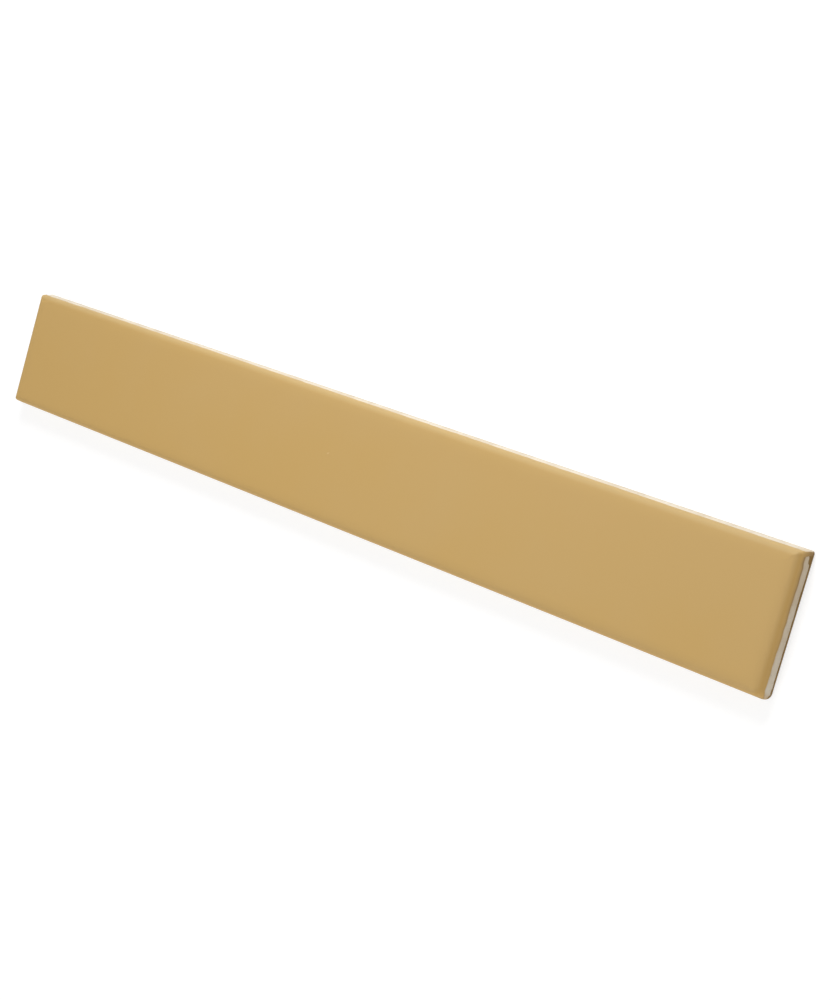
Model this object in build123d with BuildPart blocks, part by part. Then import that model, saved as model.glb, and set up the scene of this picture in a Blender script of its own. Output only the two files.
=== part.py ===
"""Long stick-format wall tile: one pressed and fired clay body, lying on its back with the glazed face up.

X runs along the length, Y across the width and Z from the back to the face. The origin is the middle of the back.
"""
import math
import os

from build123d import *

# Overall size in millimetres, taken at the foot, which is the widest part of the tile
length = 400.0
width = 50.0
thickness = 8.0

# Side walls: a short upright foot, then a wall that leans in towards the face. The plan corners are tight at
# the foot and open out towards the face.
foot_height = 0.8
wall_lean_deg = 10.0
foot_corner_radius = 1.0
face_corner_radius = 2.5
face_edge_radius = 2.8
back_bevel = 0.2

# Keying grooves that the adhesive grips, pressed along the back between plain margins
groove_count = 4
groove_width = 4.5
groove_depth = 0.7
groove_pitch = 10.0
groove_end_margin = 14.0
groove_flank_deg = 25.0

# Plan size of the face before its edge is rounded
wall_inset = (thickness - foot_height) * math.tan(math.radians(wall_lean_deg))
face_length = length - 2 * wall_inset
face_width = width - 2 * wall_inset

# The rounding of the face edge is limited by the room that the corners leave for it on the face
half_turn = math.radians((90 - wall_lean_deg) / 2)
edge_rounding = min(face_edge_radius, 0.95 * face_corner_radius / math.tan(half_turn))

groove_length = length - 2 * groove_end_margin

os.makedirs("parts", exist_ok=True)

with BuildPart() as tile:
    # Upright foot
    with BuildSketch():
        RectangleRounded(length, width, foot_corner_radius)
    extrude(amount=foot_height)

    # Leaning walls up to the face
    with BuildSketch(Plane.XY.offset(foot_height)):
        RectangleRounded(length, width, foot_corner_radius)
    with BuildSketch(Plane.XY.offset(thickness)):
        RectangleRounded(face_length, face_width, face_corner_radius)
    loft(ruled=True)

    # Soft rounded edge all round the face
    face_rim = tile.faces().sort_by(Axis.Z)[-1].edges()
    fillet(face_rim, edge_rounding)

    # Small bevel all round the back
    back_rim = tile.faces().sort_by(Axis.Z)[0].edges()
    chamfer(back_rim, back_bevel)

    # Keying grooves with sloping flanks
    with BuildSketch():
        with GridLocations(0, groove_pitch, 1, groove_count):
            SlotOverall(groove_length, groove_width)
    extrude(amount=groove_depth, taper=groove_flank_deg, mode=Mode.SUBTRACT)

tile.part.label = "tile"
export_step(tile.part, "parts/tile.step")
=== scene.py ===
"""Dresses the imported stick-format wall tile: a matt ochre glaze over a cream clay body.

The tile lies on its back with the glazed face up. X runs along its length, Y across its width and Z out of
the face. Front, rear, left and right are as seen from -Y. Sizes are in metres, and the finish reads its
heights in millimetres, because a glaze line is told apart at that scale.
"""

import logging
import math
import random
from dataclasses import dataclass, field
from enum import Enum
from functools import cached_property
from typing import Any, Iterator, Mapping, Optional, Sequence, Union

import bpy
import numpy as np
from mathutils import Matrix, Vector
from mathutils.geometry import delaunay_2d_cdt


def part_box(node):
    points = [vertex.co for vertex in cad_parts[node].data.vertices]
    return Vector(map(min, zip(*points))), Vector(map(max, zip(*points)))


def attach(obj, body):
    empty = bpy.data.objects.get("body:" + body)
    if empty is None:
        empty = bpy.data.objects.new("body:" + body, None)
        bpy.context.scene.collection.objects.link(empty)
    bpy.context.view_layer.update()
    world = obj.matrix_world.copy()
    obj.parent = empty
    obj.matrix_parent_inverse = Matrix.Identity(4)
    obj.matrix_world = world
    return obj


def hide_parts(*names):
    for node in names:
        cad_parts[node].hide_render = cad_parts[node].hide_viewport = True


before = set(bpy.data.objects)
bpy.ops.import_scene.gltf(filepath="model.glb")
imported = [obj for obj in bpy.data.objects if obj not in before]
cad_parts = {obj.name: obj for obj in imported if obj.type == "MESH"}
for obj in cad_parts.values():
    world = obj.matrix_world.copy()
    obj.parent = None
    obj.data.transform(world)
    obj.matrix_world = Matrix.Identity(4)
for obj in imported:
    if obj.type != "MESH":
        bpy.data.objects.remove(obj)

LOG = logging.getLogger("tile")
MM_PER_M = 1000.0

# The curve by which a screen codes light: straight below the knee, a power above it
SCREEN_TOP = 255
SCREEN_KNEE = 0.04045
SCREEN_SLOPE = 12.92
SCREEN_SHIFT = 0.055
SCREEN_POWER = 2.4

Colour = tuple[float, float, float, float]
Point = tuple[float, float, float]
Pair = tuple[float, float]
Number = Union["Signal", float]


class Mark(Enum):
    """Numbers that the skin holds at each point, for the finish to read."""

    GLAZE_HEIGHT = "glaze_height_mm"
    SPRAY_HEIGHT = "spray_height_mm"
    # Deeper glaze in the runs, and along the lower rim partly painted shade under the lip.
    POOLING_AND_LIP_SHADE = "glaze_pooling_and_lip_shade"
    # Painted sheen on the rear arris, where the glaze is also thinner; it also keeps the painted wall shade
    # off the rear.
    THIN_GLAZE_AND_SHEEN = "glaze_thinning_and_sheen"
    HAZE = "spray_haze"


def seen(red: int, green: int, blue: int) -> Colour:
    """Turns a colour as it is seen on a screen into the linear light that shaders work in.

    Args:
        red: Red from 0 to 255.
        green: Green from 0 to 255.
        blue: Blue from 0 to 255.

    Returns:
        Linear red, green and blue, with an alpha of 1.
    """
    light = []
    for share in (red / SCREEN_TOP, green / SCREEN_TOP, blue / SCREEN_TOP):
        curved = ((share + SCREEN_SHIFT) / (1 + SCREEN_SHIFT)) ** SCREEN_POWER
        light.append(share / SCREEN_SLOPE if share <= SCREEN_KNEE else curved)
    return (*light, 1.0)


def grey(level: float) -> Colour:
    """A plain grey in linear light."""
    return (level, level, level, 1.0)


def placed(name: str, data: bpy.types.ID) -> bpy.types.Object:
    """Puts a new object with the given data into the scene.

    Args:
        name: The object's name.
        data: Its mesh, lamp or camera.

    Returns:
        The object.
    """
    made = bpy.data.objects.new(name, data)
    bpy.context.scene.collection.objects.link(made)
    return made


class Signal:
    """One output of a shader node, which takes part in Python arithmetic with numbers and other signals."""

    def __init__(self, graph: "FinishGraph", socket: Optional[bpy.types.NodeSocket]) -> None:
        """Keeps the graph that the signal belongs to and the socket that carries it, if there is one."""
        self.graph = graph
        self.socket = socket

    def _math(self, operation: str, left: Number, right: Number) -> "Signal":
        """Adds one Math node to the graph."""
        return self.graph.node("ShaderNodeMath", {0: left, 1: right}, operation=operation)

    def __add__(self, other: Number) -> "Signal":
        """The sum, in either order."""
        return self._math("ADD", self, other)

    def __mul__(self, other: Number) -> "Signal":
        """The product, in either order."""
        return self._math("MULTIPLY", self, other)

    def __sub__(self, other: Number) -> "Signal":
        """The difference."""
        return self._math("SUBTRACT", self, other)

    def __rsub__(self, other: Number) -> "Signal":
        """The difference, with a number in front."""
        return self._math("SUBTRACT", other, self)

    __radd__, __rmul__ = __add__, __mul__

    def rise(self, low: float, high: float) -> "Signal":
        """Goes smoothly from 0 at low to 1 at high, or falls if high is the smaller one.

        Args:
            low: Value at which the result is 0.
            high: Value at which the result is 1.

        Returns:
            The eased signal, never outside 0 to 1.
        """
        reach = {"From Min": min(low, high), "From Max": max(low, high)}
        result = {"To Min": float(low > high), "To Max": float(low < high)}
        sockets = {"Value": self, **reach, **result}
        return self.graph.node("ShaderNodeMapRange", sockets, interpolation_type="SMOOTHSTEP")


class FinishGraph:
    """A node tree that is written as expressions."""

    MIX_FACTOR, MIX_FIRST, MIX_SECOND, MIX_RESULT = 0, 6, 7, 2
    NOISE_MIDDLE = 0.5

    def __init__(self, owner: Union[bpy.types.Material, bpy.types.World]) -> None:
        """Takes over the tree of a material or of the world, and empties it."""
        owner.use_nodes = True
        self.tree = owner.node_tree
        self.tree.nodes.clear()

    @cached_property
    def place(self) -> Signal:
        """Position on the piece in metres."""
        return self.node("ShaderNodeTexCoord", output="Object")

    @cached_property
    def place_mm(self) -> Signal:
        """Position on the piece in millimetres."""
        return self.node("ShaderNodeVectorMath", {0: self.place, "Scale": MM_PER_M}, operation="SCALE")

    def node(
        self,
        kind: str,
        sockets: Optional[Mapping[Union[str, int], Any]] = None,
        output: Union[str, int] = 0,
        **settings: Any,
    ) -> Signal:
        """Adds any node.

        Args:
            kind: The node's type name.
            sockets: A value or a signal for each input, by name or number.
            output: The output that is wanted, by name or number, if the node has any.
            **settings: The node's own properties, which are set first.

        Returns:
            The wanted output as a signal.
        """
        made = self.tree.nodes.new(kind)
        for name, value in settings.items():
            setattr(made, name, value)
        for key, value in (sockets or {}).items():
            if isinstance(value, Signal):
                self.tree.links.new(value.socket, made.inputs[key])
            else:
                made.inputs[key].default_value = value
        return Signal(self, made.outputs[output] if made.outputs else None)

    def mix(self, share: Number, first: Any, second: Any) -> Signal:
        """Blends two colours or signals, with a share from 0 to 1 of the second one."""
        sockets = {self.MIX_FACTOR: share, self.MIX_FIRST: first, self.MIX_SECOND: second}
        return self.node("ShaderNodeMix", sockets, self.MIX_RESULT, data_type="RGBA")

    def noise(self, size_mm: float, detail: float = 2.0) -> Signal:
        """Soft noise around 0.5, given the size of its largest spots and how many finer layers it has."""
        sockets = {"Vector": self.place_mm, "Scale": 1 / size_mm, "Detail": detail}
        return self.node("ShaderNodeTexNoise", sockets, "Fac")

    def stray(self, size_mm: float) -> Signal:
        """Soft noise around 0."""
        return self.noise(size_mm) - self.NOISE_MIDDLE

    def axis_mm(self, name: str) -> Signal:
        """The X, Y or Z of the position."""
        return self.node("ShaderNodeSeparateXYZ", {0: self.place_mm}, name)

    def mark(self, mark: Mark) -> Signal:
        """Reads a number that the skin holds at each point."""
        return self.node("ShaderNodeAttribute", output="Fac", attribute_name=mark.value)

    def surface(self, shader: Signal, closing: str = "ShaderNodeOutputMaterial") -> None:
        """Makes a shader the one that the material or the world shows."""
        self.node(closing, {"Surface": shader})


@dataclass(frozen=True)
class Glaze:
    """Matt ochre glaze: even on the face, with a paler painted sheen on the rear arris, which faces the key
    light and where the glaze is also thinner, and a warmer painted shade on the arris of the other walls.
    It is deeper where it pools, and along the lower rim that deeper tone is partly painted shade under the
    lip.
    """

    body: Colour = seen(196, 162, 103)
    warm: Colour = seen(196, 160, 96)
    # Painted shade: a warmer, deeper tone on the arris of the walls that face away from the key light.
    wall: Colour = seen(199, 160, 93)
    # Painted sheen of the key light on the rear arris, partly thinner glaze there.
    pale_sheen_and_thin_glaze: Colour = seen(194, 168, 116)
    # Deeper tone of the runs and of the lower rim, where it is partly painted shade under the lip.
    pooled_and_shaded: Colour = seen(157, 127, 82)
    roughness: float = 0.60
    roughness_spread: float = 0.06
    roughness_mm: float = 14.0
    gloss: float = 0.3
    mottle_mm: float = 34.0
    drift_along_per_mm: float = 0.0018
    drift_across_per_mm: float = 0.010
    peel_mm: float = 4.5
    peel_depth_mm: float = 0.004
    grain_mm: float = 0.35
    grain_depth_mm: float = 0.0012
    # Painted sheen on the rear arris, partly thinner glaze: it fades in between these drops below the face,
    # up to this share.
    arris_top_mm: float = 0.15
    arris_foot_mm: float = 0.9
    arris_sheen_and_thinning: float = 0.5
    # Painted wall shade fades in between these drops below the face.
    wall_shade_top_mm: float = 0.5
    wall_shade_foot_mm: float = 2.0


@dataclass(frozen=True)
class Clay:
    """Bare pressed clay, fired cream, with the grain of the pressed powder."""

    body: Colour = seen(225, 215, 196)
    warm: Colour = seen(216, 202, 178)
    fleck: Colour = seen(176, 163, 142)
    roughness: float = 0.88
    cloud_mm: float = 9.0
    cloud_detail: float = 4.0
    cloud_range: Pair = (0.35, 0.68)
    grain_mm: float = 0.55
    grain_detail: float = 4.0
    grain_depth_mm: float = 0.03
    fleck_mm: float = 0.8
    fleck_detail: float = 3.0
    fleck_range: Pair = (0.6, 0.78)
    fleck_share: float = 0.6


@dataclass(frozen=True)
class Overspray:
    """Film of glaze that the spray leaves on the foot of the ends, and its haze on the bare clay."""

    body: Colour = seen(136, 105, 54)
    paler_tone: Colour = seen(156, 124, 72)
    haze: Colour = seen(181, 151, 108)
    roughness: float = 0.6
    ragged_mm: float = 0.35
    softness_mm: float = 0.1
    streak_mm: float = 2.2
    streak_range: Pair = (0.5, 0.8)
    feather_mm: float = 0.9
    feather_share: float = 0.35


@dataclass(frozen=True)
class Blemish:
    """One small speck under the glaze of the face, a short ridge that carries a painted highlight, a paler
    tone, besides its bump.

    The flank goes from the speck's rim to the ridge, as shares of its half length and half breadth.
    """

    # Painted highlight on the speck's ridge.
    paler_tone: Colour = seen(210, 178, 120)
    place: Point = (-0.0059, 0.0018, 0.008)
    half_length_mm: float = 0.9
    half_breadth_mm: float = 0.46
    turn_deg: float = 28.0
    height_mm: float = 0.09
    flank: Pair = (1.0, 0.2)


@dataclass(frozen=True)
class TileFinish:
    """The whole skin of the tile: glaze above the glaze line, clay below it and overspray on the foot."""

    glaze: Glaze = Glaze()
    clay: Clay = Clay()
    overspray: Overspray = Overspray()
    blemish: Blemish = Blemish()
    line_softness_mm: float = 0.18
    line_ragged_mm: float = 0.12
    line_ragged_size_mm: float = 0.7

    def material(self, name: str, thickness: float) -> bpy.types.Material:
        """Makes the material.

        Args:
            name: The material's name.
            thickness: The tile's thickness, from which the rounded arris is told.

        Returns:
            A procedural material that reads the glaze and spray marks of the mesh.
        """
        made = bpy.data.materials.new(name)
        graph = FinishGraph(made)
        ragged = graph.stray(self.line_ragged_size_mm) * self.line_ragged_mm
        glaze_height = graph.mark(Mark.GLAZE_HEIGHT) + ragged
        glazed = glaze_height.rise(-self.line_softness_mm, self.line_softness_mm)
        spray = self.overspray
        spray_edge = graph.stray(spray.ragged_mm) * spray.ragged_mm
        sprayed = (graph.mark(Mark.SPRAY_HEIGHT) + spray_edge).rise(-spray.softness_mm, spray.softness_mm)
        filmed = sprayed * (1 - glazed)

        speck = self._speck(graph)
        # Painted highlight: the speck's ridge is mixed to a paler tone.
        glaze = graph.mix(speck, self._glaze_colour(graph, thickness), self.blemish.paler_tone)
        haze = glaze_height.rise(-spray.feather_mm, 0.0) * spray.feather_share
        clay = graph.mix(haze + graph.mark(Mark.HAZE), self._clay_colour(graph), spray.haze)
        skin = graph.mix(glazed, clay, glaze)
        streaks = graph.noise(spray.streak_mm).rise(*spray.streak_range)
        film = graph.mix(streaks, spray.body, spray.paler_tone)

        sockets = {
            "Base Color": graph.mix(filmed, skin, film),
            "Roughness": self._roughness(graph, glazed, filmed),
            "Specular IOR Level": self.glaze.gloss,
            "Normal": self._relief(graph, glazed, speck),
        }
        graph.surface(graph.node("ShaderNodeBsdfPrincipled", sockets))
        return made

    def _roughness(self, graph: FinishGraph, glazed: Signal, filmed: Signal) -> Signal:
        """Gives the glaze, the clay and the film of overspray their roughness.

        Args:
            graph: The material's graph.
            glazed: How much glaze covers a point.
            filmed: How much of the film covers bare clay there.

        Returns:
            The roughness, which varies a little over the glaze.
        """
        glaze, clay_rough = self.glaze, self.clay.roughness
        glaze_rough = glaze.roughness + graph.stray(glaze.roughness_mm) * glaze.roughness_spread
        rough = clay_rough + (glaze_rough - clay_rough) * glazed
        return rough + (self.overspray.roughness - clay_rough) * filmed

    def _glaze_colour(self, graph: FinishGraph, thickness: float) -> Signal:
        """Colours the glaze, with painted shade on the arris of the walls and a painted sheen on the rear
        arris.

        Args:
            graph: The material's graph.
            thickness: The tile's thickness.

        Returns:
            The glaze's colour.
        """
        glaze = self.glaze
        drop_mm = thickness * MM_PER_M - graph.axis_mm("Z")
        drift = graph.axis_mm("X") * glaze.drift_along_per_mm
        drift = drift + graph.axis_mm("Y") * glaze.drift_across_per_mm
        drift = drift + graph.noise(glaze.mottle_mm)
        even = graph.mix(drift.rise(0.0, 1.0), glaze.warm, glaze.body)
        thin_glaze_and_sheen = graph.mark(Mark.THIN_GLAZE_AND_SHEEN)
        # Painted shade on the arris of every wall but the rear, for the light those walls miss.
        wall_shade = drop_mm.rise(glaze.wall_shade_top_mm, glaze.wall_shade_foot_mm) * (1 - thin_glaze_and_sheen)
        even = graph.mix(wall_shade, even, glaze.wall)
        # Painted sheen on the rear arris, which faces the key light, where the glaze is also thinner.
        arris = drop_mm.rise(glaze.arris_top_mm, glaze.arris_foot_mm) * thin_glaze_and_sheen * glaze.arris_sheen_and_thinning
        thinned_and_sheened = graph.mix(arris, even, glaze.pale_sheen_and_thin_glaze)
        # Deeper glaze in the runs and along the lower rim, where it is partly painted shade under the lip.
        return graph.mix(graph.mark(Mark.POOLING_AND_LIP_SHADE), thinned_and_sheened, glaze.pooled_and_shaded)

    def _clay_colour(self, graph: FinishGraph) -> Signal:
        """Colours the bare clay.

        Args:
            graph: The material's graph.

        Returns:
            The clay's colour.
        """
        clay = self.clay
        clouds = graph.noise(clay.cloud_mm, clay.cloud_detail).rise(*clay.cloud_range)
        clouded = graph.mix(clouds, clay.body, clay.warm)
        flecks = graph.noise(clay.fleck_mm, clay.fleck_detail).rise(*clay.fleck_range)
        return graph.mix(flecks * clay.fleck_share, clouded, clay.fleck)

    def _relief(self, graph: FinishGraph, glazed: Signal, speck: Signal) -> Signal:
        """Gives the surface its fine relief.

        Args:
            graph: The material's graph.
            glazed: How much glaze covers a point.
            speck: Where the small speck lies.

        Returns:
            The bent normal.
        """
        glaze, clay = self.glaze, self.clay
        on_glaze = graph.noise(glaze.peel_mm) * glaze.peel_depth_mm
        on_glaze = on_glaze + graph.noise(glaze.grain_mm) * glaze.grain_depth_mm
        on_glaze = on_glaze + speck * self.blemish.height_mm
        on_clay = graph.noise(clay.grain_mm, clay.grain_detail) * clay.grain_depth_mm
        height = on_clay + (on_glaze - on_clay) * glazed
        sockets = {"Strength": 1.0, "Distance": 1 / MM_PER_M, "Height": height}
        return graph.node("ShaderNodeBump", sockets)

    def _speck(self, graph: FinishGraph) -> Signal:
        """Marks the small speck on the face.

        Args:
            graph: The material's graph.

        Returns:
            1 on the ridge of the speck, 0 away from it.
        """
        speck = self.blemish
        size = (MM_PER_M / speck.half_length_mm, MM_PER_M / speck.half_breadth_mm, MM_PER_M)
        vectors = "ShaderNodeVectorMath"
        moved = graph.node(vectors, {0: graph.place, 1: speck.place}, operation="SUBTRACT")
        turn = {"Vector": moved, "Angle": math.radians(-speck.turn_deg)}
        turned = graph.node("ShaderNodeVectorRotate", turn, rotation_type="Z_AXIS")
        scaled = graph.node(vectors, {0: turned, 1: size}, operation="MULTIPLY")
        distance = graph.node(vectors, {0: scaled}, "Value", operation="LENGTH")
        return distance.rise(*speck.flank)


class Side(Enum):
    """The four walls, in the order in which they are met going round from the front right corner."""

    RIGHT_END = 0
    REAR = 1
    LEFT_END = 2
    FRONT = 3


BySide = Mapping[Side, Pair]


def walls(right_end: Pair, rear: Pair, left_end: Pair, front: Pair) -> BySide:
    """Gives each wall a value at its start and one at its end, going counter-clockwise."""
    return dict(zip(Side, (right_end, rear, left_end, front)))


class Corner(Enum):
    """The four plan corners. Each follows the wall with the same number."""

    REAR_RIGHT = 0
    REAR_LEFT = 1
    FRONT_LEFT = 2
    FRONT_RIGHT = 3


@dataclass
class PlanOutline:
    """Rounded rectangle that every ring of the tile follows, with a radius of its own at each corner.

    The outline is cut into columns. Each column belongs to a wall or to a corner, and has the same number
    in every ring, so that rings join up into walls.
    """

    length: float
    width: float
    radii: Mapping[Corner, float]
    pitch: float = 0.0011
    fine_pitch: float = 0.00025
    fine_reach: float = 0.004
    corner_steps: int = 12
    least_radius: float = 0.0003

    def __post_init__(self) -> None:
        """Works out the columns once."""
        columns: list[tuple[int, int, float, float]] = []
        self.wall_columns: dict[Side, np.ndarray] = {}
        self.corner_columns: dict[Corner, np.ndarray] = {}
        for side in Side:
            before, after = (side.value - 1) % len(Corner), side.value
            wall = [(before, after, share, after * math.pi / 2) for share in self.shares(side)[1:-1]]
            turn = np.linspace(after, after + 1, self.corner_steps + 1) * math.pi / 2
            arc = [(after, after, 0.0, angle) for angle in turn]
            self.wall_columns[side] = len(columns) + np.arange(len(wall))
            self.corner_columns[Corner(after)] = len(columns) + len(wall) + np.arange(len(arc))
            columns += wall + arc
        self.begin, self.finish, share, angle = map(np.array, zip(*columns))
        self.share = share[:, None]
        self.normal = np.stack([np.cos(angle), np.sin(angle)], axis=1)
        self.count = len(columns)

    def shares(self, side: Side) -> np.ndarray:
        """Cuts a wall into columns.

        Args:
            side: The wall.

        Returns:
            Shares from 0 to 1 along the wall, which lie close together near both of its ends.
        """
        run = self.length if side in (Side.REAR, Side.FRONT) else self.width
        fine = np.arange(0.0, self.fine_reach, self.fine_pitch)
        plain = run - 2 * self.fine_reach
        middle = self.fine_reach + np.linspace(0.0, plain, round(plain / self.pitch) + 1)
        return np.concatenate([fine, middle, run - fine[::-1]]) / run

    def points(self, inset: np.ndarray, tightening: np.ndarray) -> np.ndarray:
        """Places the columns of one ring in plan.

        Args:
            inset: How far each column lies inside the tile's overall outline.
            tightening: How much smaller each column's corner radius is than at the foot.

        Returns:
            X and Y of each column.
        """
        half = np.array((self.length, self.width)) / 2
        signs = np.array(((1, 1), (-1, 1), (-1, -1), (1, -1)))
        radii = np.array([self.radii[corner] for corner in Corner])
        ends = []
        for corner in (self.begin, self.finish):
            radius = np.maximum(radii[corner] - tightening, self.least_radius)[:, None]
            centre = signs[corner] * (half - inset[:, None] - radius)
            ends.append(centre + radius * self.normal)
        return ends[0] + (ends[1] - ends[0]) * self.share

    def travel(self) -> tuple[np.ndarray, float]:
        """Goes once round the foot.

        Returns:
            Distance of each column from the first one, and the whole way round.
        """
        flat = np.zeros(self.count)
        foot = self.points(flat, flat)
        step = np.linalg.norm(np.roll(foot, -1, axis=0) - foot, axis=1)
        return np.concatenate([[0.0], np.cumsum(step)[:-1]]), float(step.sum())

    def by_side(self, values: BySide) -> np.ndarray:
        """Spreads two values for each wall over the columns.

        Args:
            values: The two values of each wall.

        Returns:
            A value for each column, which changes evenly along the walls and round the corners.
        """
        spread = np.zeros(self.count)
        for side in Side:
            first, last = values[side]
            columns = self.wall_columns[side]
            spread[columns] = first + (last - first) * self.share[columns, 0]
            following = values[Side((side.value + 1) % len(Side))][0]
            corner = self.corner_columns[Corner(side.value)]
            spread[corner] = np.linspace(last, following, len(corner))
        return spread

    def wall_with_corners(self, side: Side) -> np.ndarray:
        """Finds the columns of a wall and the arc ends that close it.

        Args:
            side: The wall.

        Returns:
            The columns' numbers, with an arc end before the wall's own columns and one after them.
        """
        before = self.corner_columns[Corner((side.value - 1) % len(Corner))][-1:]
        after = self.corner_columns[Corner(side.value)][:1]
        return np.concatenate([before, self.wall_columns[side], after])


@dataclass(frozen=True)
class Wander:
    """A line's seeded wander up and down on its way round the tile."""

    seed: int
    reach: float
    shortest: float
    longest: float
    waves: int = 28

    def along(self, travel: np.ndarray, loop: float) -> np.ndarray:
        """Wander at each column.

        Args:
            travel: Distance of each column round the tile.
            loop: The whole way round.

        Returns:
            Height above or below the line's mean, which meets itself after one round.
        """
        draw = random.Random(self.seed)
        total = np.zeros_like(travel)
        for _ in range(self.waves):
            length = math.exp(draw.uniform(math.log(self.shortest), math.log(self.longest)))
            cycles = max(1, round(loop / length))
            total += np.sin(math.tau * cycles * travel / loop + draw.uniform(0, math.tau))
        return total * self.reach / math.sqrt(self.waves / 2)


@dataclass(frozen=True)
class Swell:
    """A local rise or fall near a corner, such as a run of glaze, a drip or a gentler pillow."""

    corner: Corner
    shift: float
    half_width: float
    amount: float
    steepness: float = 6.0

    def along(self, outline: PlanOutline) -> np.ndarray:
        """Share of the swell at each column.

        Args:
            outline: The tile's outline.

        Returns:
            The swell's amount at its middle, falling to 0 at its sides.
        """
        travel, loop = outline.travel()
        columns = outline.corner_columns[self.corner]
        middle = travel[columns[len(columns) // 2]] + self.shift
        apart = (travel - middle + loop / 2) % loop - loop / 2
        return self.amount * np.exp(-(np.abs(apart / self.half_width) ** self.steepness))


def swelling(swells: Sequence[Swell], outline: PlanOutline) -> np.ndarray:
    """Adds up swells at each column."""
    return sum((swell.along(outline) for swell in swells), np.zeros(outline.count))


@dataclass(frozen=True)
class WanderingLine:
    """A line round the walls: its height on each wall, its wander, and its swells near the corners."""

    heights: BySide
    wander: Wander
    swells: Sequence[Swell]

    def along(self, outline: PlanOutline) -> np.ndarray:
        """Height of the line above the back at each column."""
        line = outline.by_side(self.heights) + self.wander.along(*outline.travel())
        return line + swelling(self.swells, outline)


@dataclass(frozen=True)
class GlazeLine:
    """Where the glaze stops on the walls: the usual line, and the runs that have gone down from it."""

    usual: WanderingLine
    runs: Sequence[Swell]
    # How deep the lower rim turns on each wall: partly thick glaze, partly painted shade under the lip,
    # none on the lit rear.
    pooling_and_lip_shade: BySide
    # Share of painted sheen on each wall's arris, partly thinner glaze; 1 on the rear, which faces the key
    # light.
    thin_glaze_and_sheen: BySide
    pool_and_shade_height: float = 0.0011
    run_depth: float = 0.0020

    def running(self, outline: PlanOutline) -> np.ndarray:
        """How far the glaze has run down at each column, from 0 to 1."""
        return np.clip(swelling(self.runs, outline), 0.0, 1.0)

    def along(self, outline: PlanOutline, lowest: float) -> np.ndarray:
        """Height of the line at each column, with runs that reach down to the lowest height."""
        usual = self.usual.along(outline)
        return np.maximum(usual + (lowest - usual) * self.running(outline), lowest)

    def pooled_and_shaded(self, outline: PlanOutline, line: np.ndarray, height: np.ndarray) -> np.ndarray:
        """How thick the glaze lies on one ring, with painted shade along its lower rim.

        Args:
            outline: The tile's outline.
            line: Height of the line at each column.
            height: Height of the ring at each column.

        Returns:
            From 0 for the even coat to 1 for a thick pool in the runs, and for the deeper tone along the
            lower rim, which is partly thick glaze and partly painted shade under the lip.
        """
        rim = outline.by_side(self.pooling_and_lip_shade) * np.clip(1 - (height - line) / self.pool_and_shade_height, 0.0, 1.0)
        fall = np.clip((self.usual.along(outline) + self.pool_and_shade_height - height) / self.run_depth, 0.0, 1.0)
        run = self.running(outline) ** 2 * fall**2 * (3 - 2 * fall)
        return np.clip(np.maximum(rim, run), 0.0, 1.0)


@dataclass(frozen=True)
class SprayLine:
    """How far the film of overspray climbs from the back, and the haze above it.

    An edge below the back leaves a wall clean.
    """

    edge: WanderingLine
    haze: BySide
    haze_patches: Sequence[Swell]

    def hazed(self, outline: PlanOutline) -> np.ndarray:
        """How much haze lies on the clay at each column."""
        return outline.by_side(self.haze) + swelling(self.haze_patches, outline)


@dataclass(frozen=True)
class Ring:
    """One closed ring of the skin: its inset, corner tightening and height at each column."""

    inset: np.ndarray
    tightening: np.ndarray
    height: np.ndarray


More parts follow.
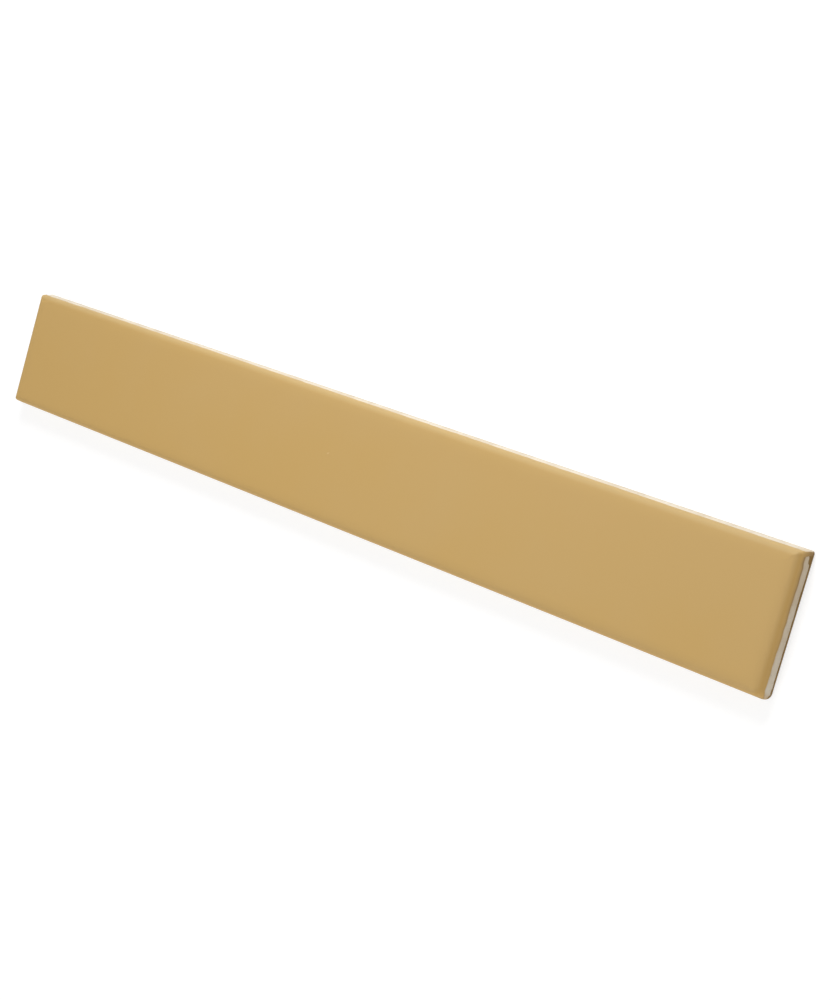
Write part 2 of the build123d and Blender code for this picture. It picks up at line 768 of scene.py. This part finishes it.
@dataclass(frozen=True)
class WallSection:
    """The tile's edge in section, from the back up to the flat of the face.

    The bead's profile goes up from the glaze line. Each step has its height in bead heights and how far it
    stands proud in beads.
    """

    thickness: float
    pillow_slope: np.ndarray
    foot_height: float = 0.0008
    wall_lean_deg: float = 10.0
    face_edge_radius: float = 0.0028
    back_bevel: float = 0.0002
    back_margin: float = 0.0006
    clay_setback: float = 0.00012
    lip_height: float = 0.00006
    lip_tuck: float = 0.2
    bead: float = 0.00005
    bead_height: float = 0.0004
    bead_profile: Sequence[Pair] = ((0.15, 0.6), (0.5, 1.0), (1.0, 0.5))
    even_coat_height: float = 0.0008
    pillow_width: float = 0.0044
    pillow_ease: int = 2
    clay_rows: int = 5
    edge_rows: int = 14
    pillow_rows: int = 10

    def wall_inset(self, height: np.ndarray) -> np.ndarray:
        """Inset of the leaning wall at a height."""
        return np.maximum(height - self.foot_height, 0.0) * math.tan(math.radians(self.wall_lean_deg))

    def crown(self) -> np.ndarray:
        """How far the pillow falls from the flat of the face to the rounded edge at each column."""
        return np.tan(self.pillow_slope) * self.pillow_width / (self.pillow_ease + 1)

    def edge_centre(self) -> tuple[np.ndarray, np.ndarray]:
        """Works out where the rounded face edge turns.

        Returns:
            Inset and height of the rounding's centre at each column.
        """
        lean = math.radians(self.wall_lean_deg)
        height = self.thickness - self.face_edge_radius * np.cos(self.pillow_slope) - self.crown()
        inset = (self.face_edge_radius + (height - self.foot_height) * math.sin(lean)) / math.cos(lean)
        return inset, height

    def edge_start(self) -> np.ndarray:
        """Height at which the rounded face edge leaves the wall at each column."""
        _, centre = self.edge_centre()
        return centre + self.face_edge_radius * math.sin(math.radians(self.wall_lean_deg))

    def edge_inset(self, height: np.ndarray) -> np.ndarray:
        """How much further in than the wall the rounded face edge lies.

        Args:
            height: Height above the back at each column.

        Returns:
            The extra inset at each column, 0 below the rounding.
        """
        inset, centre = self.edge_centre()
        lift = np.clip(height - centre, 0.0, self.face_edge_radius)
        rounded = inset - np.sqrt(self.face_edge_radius**2 - lift**2) - self.wall_inset(height)
        return np.where(height > self.edge_start(), rounded, 0.0)

    def rings(self, line: np.ndarray) -> Iterator[Ring]:
        """Goes up the section.

        Args:
            line: Height of the glaze line at each column.

        Yields:
            The rings from the margin of the back to the flat of the face.
        """
        flat = np.zeros_like(line)
        margin = flat + self.back_bevel + self.back_margin
        yield Ring(margin, margin, flat)
        yield Ring(flat + self.back_bevel, flat + self.back_bevel, flat)
        yield Ring(flat, flat, flat + self.back_bevel)
        yield Ring(flat, flat, flat + self.foot_height)
        yield from self._clay_and_lip(line)
        yield from self._face_edge(line + self.even_coat_height)
        yield from self._pillow(flat)

    def _on_wall(self, height: np.ndarray, setback: float) -> Ring:
        """A ring on the wall or on the rounded edge, set back into the tile or standing proud."""
        tightening = self.edge_inset(height) + setback
        return Ring(self.wall_inset(height) + tightening, tightening, height)

    def _clay_and_lip(self, line: np.ndarray) -> Iterator[Ring]:
        """Goes up the bare clay and over the glaze's lower lip.

        Args:
            line: Height of the glaze line at each column.

        Yields:
            The rings from just above the foot, over the lip, to the top of the bead.
        """
        bottom = self.foot_height + self.clay_setback
        for share in np.linspace(0.0, 1.0, self.clay_rows):
            yield self._on_wall(bottom + (line - self.lip_height - bottom) * share, self.clay_setback)
        yield self._on_wall(line - self.lip_height / 2, self.clay_setback * self.lip_tuck)
        for climb, proud in self.bead_profile:
            yield self._on_wall(line + self.bead_height * climb, -self.bead * proud)

    def _face_edge(self, start: np.ndarray) -> Iterator[Ring]:
        """Goes from above the bead over the rounded face edge.

        Args:
            start: Height at which the even coat begins at each column.

        Yields:
            The rings up to where the edge runs into the pillow.
        """
        _, centre = self.edge_centre()
        yield self._on_wall(start, 0.0)
        lift = np.maximum(start, self.edge_start()) - centre
        first = np.arcsin(lift / self.face_edge_radius)
        last = math.pi / 2 - self.pillow_slope
        for share in np.linspace(0.0, 1.0, self.edge_rows + 1)[1:]:
            turn = first + (last - first) * share
            yield self._on_wall(centre + self.face_edge_radius * np.sin(turn), 0.0)

    def _pillow(self, flat: np.ndarray) -> Iterator[Ring]:
        """Goes over the gentle pillow between the rounded edge and the flat of the face.

        Args:
            flat: Zero at each column.

        Yields:
            The rings of the pillow, whose slope eases away towards the flat.
        """
        rim = self._on_wall(flat + self.thickness - self.crown(), 0.0)
        for share in np.linspace(0.0, 1.0, self.pillow_rows + 1)[1:]:
            run = self.pillow_width * share
            climb = self.crown() * (1 - (1 - share) ** (self.pillow_ease + 1))
            yield Ring(rim.inset + run, rim.tightening - run, rim.height + climb)


@dataclass(frozen=True)
class KeyingGrooves:
    """Grooves along the back that the adhesive grips."""

    count: int = 4
    width: float = 0.0045
    depth: float = 0.0007
    pitch: float = 0.010
    end_margin: float = 0.014
    flank_deg: float = 25.0
    end_steps: int = 14

    def reach(self, length: float) -> float:
        """How far from the middle of the tile the round ends of the grooves turn."""
        return length / 2 - self.end_margin - self.width / 2

    def across(self, number: int) -> float:
        """Where a groove, counted from the front, lies across the tile."""
        return (number - (self.count - 1) / 2) * self.pitch

    def covers(self, point: Vector, length: float) -> bool:
        """Tells whether a point of the back lies over a groove.

        Args:
            point: The point in plan.
            length: The tile's length.

        Returns:
            True inside the mouth of any groove.
        """
        beyond = max(abs(point.x) - self.reach(length), 0.0)
        apart = (math.hypot(beyond, point.y - self.across(number)) for number in range(self.count))
        return min(apart) < self.width / 2

    def loop(self, number: int, length: float, depth: float) -> np.ndarray:
        """Outline of one groove at a depth.

        Args:
            number: The groove, counted from the front.
            length: The tile's length.
            depth: Depth below the back at which the outline is taken.

        Returns:
            X, Y and Z of the outline's points, counter-clockwise seen from above.
        """
        radius = self.width / 2 - depth * math.tan(math.radians(self.flank_deg))
        reach, across = self.reach(length), self.across(number)
        turn = np.linspace(-math.pi / 2, math.pi / 2, self.end_steps + 1)
        right = np.stack([reach + radius * np.cos(turn), across + radius * np.sin(turn)], axis=1)
        left = np.stack([-reach - radius * np.cos(turn), across - radius * np.sin(turn)], axis=1)
        plan = np.concatenate([right, left])
        return np.column_stack([plan, np.full(len(plan), depth)])


@dataclass(frozen=True)
class FaceWaves:
    """Very slight seeded waves of the glaze over the flat of the face."""

    depth: float = 0.000012
    seed: int = 5
    count: int = 9
    shortest: float = 0.018
    longest: float = 0.070

    def below(self, plan: np.ndarray) -> np.ndarray:
        """Depth of the waves below the face.

        Args:
            plan: X and Y of each point.

        Returns:
            Depth at each point, none of it above the face.
        """
        draw = random.Random(self.seed)
        total = np.zeros(plan.shape[:2])
        for _ in range(self.count):
            wavelength = draw.uniform(self.shortest, self.longest)
            heading = draw.uniform(0, math.pi)
            way = plan[..., 0] * math.cos(heading) + plan[..., 1] * math.sin(heading)
            total += np.sin(math.tau * way / wavelength + draw.uniform(0, math.tau))
        return self.depth * (1 + total / self.count)


class Skin:
    """Points and faces of one closed skin, gathered bit by bit, with the marks of each point."""

    CREASE_DEG = 32.0
    FAR_BELOW_MM = -3.0
    BARE = {
        **dict.fromkeys(Mark, 0.0),
        Mark.GLAZE_HEIGHT: FAR_BELOW_MM,
        Mark.SPRAY_HEIGHT: FAR_BELOW_MM,
    }

    def __init__(self) -> None:
        """Starts with nothing."""
        self.points: list[np.ndarray] = []
        self.marks: dict[Mark, list[np.ndarray]] = {mark: [] for mark in Mark}
        self.faces: list[tuple[int, ...]] = []
        self.count = 0

    def add(self, points: np.ndarray, marks: Optional[Mapping[Mark, Any]] = None) -> np.ndarray:
        """Adds points.

        Args:
            points: X, Y and Z of each point.
            marks: The marks of the points, where they aren't those of bare clay.

        Returns:
            The points' numbers.
        """
        self.points.append(points)
        for mark, value in {**self.BARE, **(marks or {})}.items():
            self.marks[mark].append(np.zeros(len(points)) + value)
        numbers = self.count + np.arange(len(points))
        self.count += len(points)
        return numbers

    def bridge(self, lower: np.ndarray, upper: np.ndarray, closed: bool = True) -> None:
        """Joins two rows of points by four-sided faces.

        Args:
            lower: Points of the first row.
            upper: Points of the second row, as many as in the first.
            closed: Whether the rows meet themselves.
        """
        for here in range(len(lower) if closed else len(lower) - 1):
            there = (here + 1) % len(lower)
            self.faces.append((lower[here], lower[there], upper[there], upper[here]))

    def fan(self, rim: np.ndarray, tip: int) -> None:
        """Joins a row of points to one point by triangles."""
        for here, there in zip(rim[:-1], rim[1:]):
            self.faces.append((here, there, tip))

    def grid(self, numbers: np.ndarray) -> None:
        """Fills a grid of points with four-sided faces."""
        for lower, upper in zip(numbers[:-1], numbers[1:]):
            self.bridge(upper, lower, closed=False)

    def mesh(self, name: str) -> bpy.types.Mesh:
        """Makes the mesh.

        Args:
            name: The mesh's name.

        Returns:
            A smooth mesh whose sharp edges stay crisp.
        """
        made = bpy.data.meshes.new(name)
        made.from_pydata(np.concatenate(self.points).tolist(), [], [tuple(map(int, f)) for f in self.faces])
        for mark, rows in self.marks.items():
            values = np.concatenate(rows).astype(np.float32)
            made.attributes.new(mark.value, "FLOAT", "POINT").data.foreach_set("value", values)
        made.shade_smooth()
        made.set_sharp_from_angle(angle=math.radians(self.CREASE_DEG))
        made.validate()
        return made


@dataclass
class WallTile:
    """The tile: one pressed clay body with its glaze, built as one closed skin."""

    NODE = "tile"
    PIECE = "glazed_tile"
    SLOT = "glazed_clay"
    FILL_INSIDE = 1
    MERGE_WITHIN = 1e-9

    low: Vector
    high: Vector
    run_clearance: float = 0.00025
    waves: FaceWaves = FaceWaves()
    grooves: KeyingGrooves = KeyingGrooves()
    finish: TileFinish = TileFinish()
    glaze_line: GlazeLine = GlazeLine(
        usual=WanderingLine(
            heights=walls(
                right_end=(0.0042, 0.0034),
                rear=(0.0046, 0.0046),
                left_end=(0.0046, 0.0042),
                front=(0.0038, 0.0020),
            ),
            wander=Wander(seed=11, reach=0.00010, shortest=0.004, longest=0.070),
            swells=(
                Swell(Corner.REAR_RIGHT, shift=-0.0026, half_width=0.0022, amount=0.0006, steepness=4),
            ),
        ),
        runs=(
            Swell(Corner.REAR_RIGHT, shift=-0.0006, half_width=0.0008, amount=1.0, steepness=10),
            Swell(Corner.REAR_LEFT, shift=0.0013, half_width=0.0014, amount=0.7, steepness=3),
            Swell(Corner.FRONT_LEFT, shift=0.0010, half_width=0.0020, amount=0.45, steepness=3),
            Swell(Corner.FRONT_RIGHT, shift=-0.0023, half_width=0.0017, amount=0.95, steepness=3),
        ),
        # Painted sheen only on the rear arris, which faces the key light, partly thinner glaze; the other
        # walls get the painted wall shade.
        thin_glaze_and_sheen=walls(right_end=(0.0, 0.0), rear=(1.0, 1.0), left_end=(0.0, 0.0), front=(0.0, 0.0)),
        # Lower rim: partly thick glaze, partly painted shade under the lip, most on the right end, which
        # stands in shade, none on the lit rear.
        pooling_and_lip_shade=walls(right_end=(0.0, 1.65), rear=(0.0, 0.0), left_end=(0.3, 0.3), front=(0.3, 0.25)),
    )
    spray_line: SprayLine = SprayLine(
        edge=WanderingLine(
            heights=walls(
                right_end=(0.0010, 0.0011),
                rear=(-0.0010, -0.0010),
                left_end=(0.0008, 0.0006),
                front=(-0.0010, -0.0010),
            ),
            wander=Wander(seed=23, reach=0.00006, shortest=0.003, longest=0.030),
            swells=(
                Swell(Corner.REAR_RIGHT, shift=-0.0026, half_width=0.0016, amount=0.0009),
                Swell(Corner.REAR_RIGHT, shift=0.0, half_width=0.0016, amount=0.0008),
                Swell(Corner.FRONT_RIGHT, shift=0.0001, half_width=0.0012, amount=0.0009, steepness=4),
                Swell(Corner.REAR_LEFT, shift=0.0012, half_width=0.0010, amount=0.0008),
            ),
        ),
        haze=walls(right_end=(0.06, 0.36), rear=(0.0, 0.0), left_end=(0.15, 0.1), front=(0.1, 0.1)),
        haze_patches=(
            Swell(Corner.FRONT_RIGHT, shift=-0.0004, half_width=0.0016, amount=0.6, steepness=3),
        ),
    )
    corner_radii: Mapping[Corner, float] = field(
        default_factory=lambda: {
            Corner.REAR_RIGHT: 0.0010,
            Corner.REAR_LEFT: 0.00025,
            Corner.FRONT_LEFT: 0.0008,
            Corner.FRONT_RIGHT: 0.0027,
        }
    )
    pillow_slopes_deg: BySide = field(
        default_factory=lambda: walls(
            right_end=(21.5, 19.0), rear=(11.0, 7.5), left_end=(5.0, 5.0), front=(6.0, 23.0)
        )
    )
    pillow_eases_deg: Sequence[Swell] = (
        Swell(Corner.REAR_RIGHT, shift=-0.0030, half_width=0.0045, amount=-8.0, steepness=2),
    )

    def __post_init__(self) -> None:
        """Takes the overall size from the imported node, and works out the outline and the section."""
        size = self.high - self.low
        self.outline = PlanOutline(size.x, size.y, self.corner_radii)
        slopes_deg = self.outline.by_side(self.pillow_slopes_deg)
        slopes_deg = slopes_deg + swelling(self.pillow_eases_deg, self.outline)
        self.section = WallSection(thickness=size.z, pillow_slope=np.radians(slopes_deg))

    def build(self) -> bpy.types.Object:
        """Builds the skin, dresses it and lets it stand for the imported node.

        Returns:
            The finished piece.
        """
        skin = Skin()
        lowest = self.section.foot_height + self.run_clearance
        line = self.glaze_line.along(self.outline, lowest)
        spray = self.spray_line.edge.along(self.outline)
        rows = self._walls(skin, line, spray)
        self._face(skin, rows[-1])
        self._back(skin, rows[0])
        piece = placed(self.PIECE, skin.mesh(self.PIECE))
        self.dress(piece)
        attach(piece, "root")
        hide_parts(self.NODE)
        return piece

    def dress(self, piece: bpy.types.Object) -> None:
        """Gives the piece its glaze and clay."""
        piece.data.materials.append(self.finish.material(self.SLOT, self.section.thickness))

    def _walls(self, skin: Skin, line: np.ndarray, spray: np.ndarray) -> list[np.ndarray]:
        """Adds the rings from the back to the flat of the face.

        Args:
            skin: The skin that is being made.
            line: Height of the glaze line at each column.
            spray: Height of the overspray's edge at each column.

        Returns:
            The point numbers of each ring.
        """
        rows: list[np.ndarray] = []
        for ring in self.section.rings(line):
            plan = self.outline.points(ring.inset, ring.tightening)
            points = np.column_stack([plan, ring.height])
            marks: dict[Mark, np.ndarray] = {}
            if rows:
                marks[Mark.GLAZE_HEIGHT] = (ring.height - line) * MM_PER_M
                marks[Mark.SPRAY_HEIGHT] = (spray - ring.height) * MM_PER_M
                marks[Mark.POOLING_AND_LIP_SHADE] = self.glaze_line.pooled_and_shaded(self.outline, line, ring.height)
                marks[Mark.THIN_GLAZE_AND_SHEEN] = self.outline.by_side(self.glaze_line.thin_glaze_and_sheen)
                marks[Mark.HAZE] = self.spray_line.hazed(self.outline)
            rows.append(skin.add(points, marks))
            if len(rows) > 1:
                skin.bridge(rows[-2], rows[-1])
        return rows

    def _face(self, skin: Skin, rim: np.ndarray) -> None:
        """Fills the flat of the face with a fine grid that waves a little.

        Args:
            skin: The skin that is being made.
            rim: The innermost ring.
        """
        outline = self.outline
        corners = self._face_corners(skin)
        along = outline.shares(Side.REAR)[:, None, None]
        across = outline.shares(Side.RIGHT_END)[None, :, None]
        front = corners[Corner.FRONT_LEFT] * (1 - along) + corners[Corner.FRONT_RIGHT] * along
        rear = corners[Corner.REAR_LEFT] * (1 - along) + corners[Corner.REAR_RIGHT] * along
        plan = front * (1 - across) + rear * across
        height = self.section.thickness - self.waves.below(plan)
        points = np.concatenate([plan, height[..., None]], axis=2)
        marks = {Mark.GLAZE_HEIGHT: self.section.thickness * MM_PER_M / 2}
        numbers = skin.add(points.reshape(-1, 3), marks).reshape(points.shape[:2])
        skin.grid(numbers)
        edges = {
            Side.RIGHT_END: numbers[-1],
            Side.REAR: numbers[::-1, -1],
            Side.LEFT_END: numbers[0, ::-1],
            Side.FRONT: numbers[:, 0],
        }
        for side, edge in edges.items():
            skin.bridge(rim[outline.wall_with_corners(side)], edge, closed=False)
            skin.fan(rim[outline.corner_columns[Corner(side.value)]], edge[-1])

    def _face_corners(self, skin: Skin) -> dict[Corner, np.ndarray]:
        """Finds the corners of the face's grid.

        Args:
            skin: The skin that is being made, with the innermost ring as the last points added.

        Returns:
            X and Y of the centre of the rim's arc at each corner.
        """
        plan = skin.points[-1][:, :2]
        centres = {}
        for corner, columns in self.outline.corner_columns.items():
            first, last = plan[columns[0]], plan[columns[-1]]
            ends_on_long_wall = corner in (Corner.REAR_RIGHT, Corner.FRONT_LEFT)
            centres[corner] = np.array((last[0], first[1]) if ends_on_long_wall else (first[0], last[1]))
        return centres

    def _back(self, skin: Skin, rim: np.ndarray) -> None:
        """Closes the back and sinks the keying grooves into it.

        Args:
            skin: The skin that is being made.
            rim: The ring round the margin of the back.
        """
        length = self.outline.length
        loops = [rim]
        for number in range(self.grooves.count):
            mouth = skin.add(self.grooves.loop(number, length, 0.0))
            floor = skin.add(self.grooves.loop(number, length, self.grooves.depth))
            skin.bridge(floor, mouth)
            skin.faces.append(tuple(floor[::-1]))
            loops.append(mouth)
        numbers = np.concatenate(loops)
        points = np.concatenate(skin.points)
        plan = [Vector(points[n][:2]) for n in numbers]
        edges, start = [], 0
        for loop in loops:
            edges.extend((start + i, start + (i + 1) % len(loop)) for i in range(len(loop)))
            start += len(loop)
        _, _, triangles, *_ = delaunay_2d_cdt(plan, edges, [], self.FILL_INSIDE, self.MERGE_WITHIN)
        for triangle in triangles:
            middle = sum((plan[i] for i in triangle), Vector((0, 0))) / len(triangle)
            if not self.grooves.covers(middle, length):
                skin.faces.append(tuple(numbers[i] for i in reversed(triangle)))


@dataclass(frozen=True)
class Softbox:
    """A large soft lamp. Its level is how bright it alone makes a white surface that faces it."""

    name: str
    towards: Point
    distance: float
    size: float
    level: float

    def build(self) -> bpy.types.Object:
        """Hangs the lamp, turned to the tile.

        Returns:
            The lamp.
        """
        lamp = bpy.data.lights.new(self.name, "AREA")
        lamp.shape = "DISK"
        lamp.size = self.size
        lamp.energy = self.level * (math.pi * self.distance) ** 2
        hung = placed(self.name, lamp)
        heading = Vector(self.towards).normalized()
        hung.location = heading * self.distance
        hung.rotation_euler = heading.to_track_quat("Z", "Y").to_euler()
        return hung


@dataclass(frozen=True)
class Viewpoint:
    """The camera, above the right end and turned so that the tile slants down across the picture."""

    place: Point = (0.50304, 0.06862, 0.55490)
    aim: Point = (0.03866, -0.00380, 0.00400)
    roll_deg: float = -81.050
    lens_mm: float = 70.94
    sensor_mm: float = 36.0

    def build(self) -> bpy.types.Object:
        """Sets up the camera and makes it the scene's own.

        Returns:
            The camera.
        """
        data = bpy.data.cameras.new("camera")
        data.sensor_width = self.sensor_mm
        data.lens = self.lens_mm
        camera = placed("camera", data)
        heading = Vector(self.aim) - Vector(self.place)
        upright = heading.to_track_quat("-Z", "Y").to_matrix()
        turned = upright @ Matrix.Rotation(math.radians(self.roll_deg), 3, "Z")
        camera.matrix_world = Matrix.Translation(self.place) @ turned.to_4x4()
        bpy.context.scene.camera = camera
        return camera


@dataclass
class Studio:
    """Pale floor, soft light and camera."""

    floor_half: float = 6.0
    floor_gap: float = 0.0001
    floor_bounce: float = 0.85
    floor_shadow: float = 0.45
    floor_glow: float = 0.65
    sky_level: float = 0.57
    viewpoint: Viewpoint = Viewpoint()
    softboxes: Sequence[Softbox] = (
        Softbox("key_softbox", (0.0, 0.860, 0.510), 0.62, 0.30, 0.70),
        Softbox("fill_softbox", (-0.045, -0.833, 0.552), 1.2, 0.8, 0.36),
        Softbox("side_softbox", (0.876, 0.0, 0.482), 1.2, 0.8, 0.09),
    )

    def build(self) -> None:
        """Sets up the floor, the light and the camera."""
        self._floor()
        self._sky()
        for softbox in self.softboxes:
            LOG.info("lamp %s", softbox.build().name)
        LOG.info("camera %s", self.viewpoint.build().name)
        bpy.context.scene.view_settings.view_transform = "Standard"

    @staticmethod
    def _shown(graph: FinishGraph) -> Signal:
        """Tells rays that show the background from those that light the tile.

        Args:
            graph: The graph of the floor or of the sky.

        Returns:
            1 for a ray from the camera, off a gloss or through glass, 0 for the light that fills the room.
        """
        kinds = ("Is Camera Ray", "Is Glossy Ray", "Is Transmission Ray")
        camera, glossy, through = (graph.node("ShaderNodeLightPath", output=kind) for kind in kinds)
        return (camera + glossy + through).rise(0.0, 1.0)

    def _floor(self) -> None:
        """Lays the floor, which looks white away from the tile and keeps its soft shadow."""
        half = self.floor_half
        mesh = bpy.data.meshes.new("floor")
        corners = [(-half, -half, 0), (half, -half, 0), (half, half, 0), (-half, half, 0)]
        mesh.from_pydata(corners, [], [(0, 1, 2, 3)])
        floor = placed("floor", mesh)
        floor.location.z = -self.floor_gap
        paper = bpy.data.materials.new("floor_paper")
        graph = FinishGraph(paper)
        bounce = graph.node("ShaderNodeBsdfDiffuse", {"Color": grey(self.floor_bounce)})
        shadow = graph.node("ShaderNodeBsdfDiffuse", {"Color": grey(self.floor_shadow)})
        glow = graph.node("ShaderNodeEmission", {"Strength": self.floor_glow})
        shown = graph.node("ShaderNodeAddShader", {0: shadow, 1: glow})
        graph.surface(graph.node("ShaderNodeMixShader", {0: self._shown(graph), 1: bounce, 2: shown}))
        mesh.materials.append(paper)

    def _sky(self) -> None:
        """Fills the room with even light and shows white behind the floor."""
        world = bpy.data.worlds.new("sky")
        graph = FinishGraph(world)
        light = graph.node("ShaderNodeBackground", {"Strength": self.sky_level})
        white = graph.node("ShaderNodeBackground", {"Strength": 1.0})
        mixed = graph.node("ShaderNodeMixShader", {0: self._shown(graph), 1: light, 2: white})
        graph.surface(mixed, "ShaderNodeOutputWorld")
        bpy.context.scene.world = world


def main() -> None:
    """Builds the tile and the studio."""
    logging.basicConfig(level=logging.INFO, format="%(name)s: %(message)s")
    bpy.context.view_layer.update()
    piece = WallTile(*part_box(WallTile.NODE)).build()
    mesh = piece.data
    LOG.info("piece %s: %d points, %d faces", piece.name, len(mesh.vertices), len(mesh.polygons))
    Studio().build()


if __name__ == "__main__":
    main()
